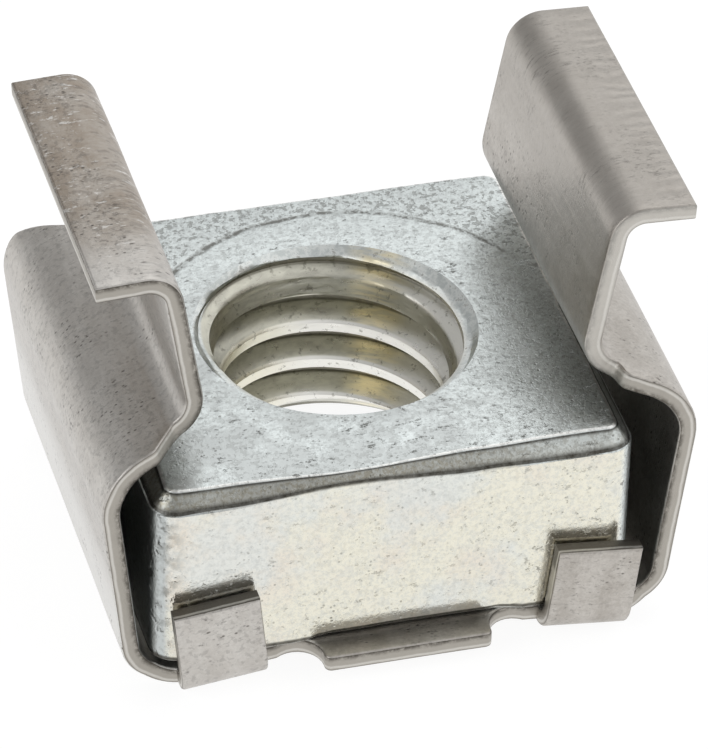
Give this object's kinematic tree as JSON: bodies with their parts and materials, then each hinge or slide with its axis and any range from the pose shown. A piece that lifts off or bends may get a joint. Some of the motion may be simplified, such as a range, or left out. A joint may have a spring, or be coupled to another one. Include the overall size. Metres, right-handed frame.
{
  "type": "rack cage nut",
  "caption": "Square threaded nut held loosely in a spring-steel clip that snaps into a square rack hole.",
  "frame": {"origin": "under the middle of the cage, on its lowest line", "axes": "+Z along the thread towards the panel that the cage clips into, X across the two spring legs, Y along the folds"},
  "size_m": [0.0132, 0.0114, 0.0101],
  "materials": {
    "zinc_steel": "zinc plated, satin, pale blue-grey with a faint yellow cast",
    "spring_steel": "bare rolled spring steel, dull warm grey"
  },
  "bodies": {
    "cage": {"spring_cage": "spring_steel"},
    "nut": {"square_nut": "zinc_steel"}
  },
  "joints": [
    {"name": "nut_float", "type": "slide", "parent": "cage", "child": "nut", "axis": [1, 0, 0], "range_m": [-0.00015, 0.00057]}
  ]
}
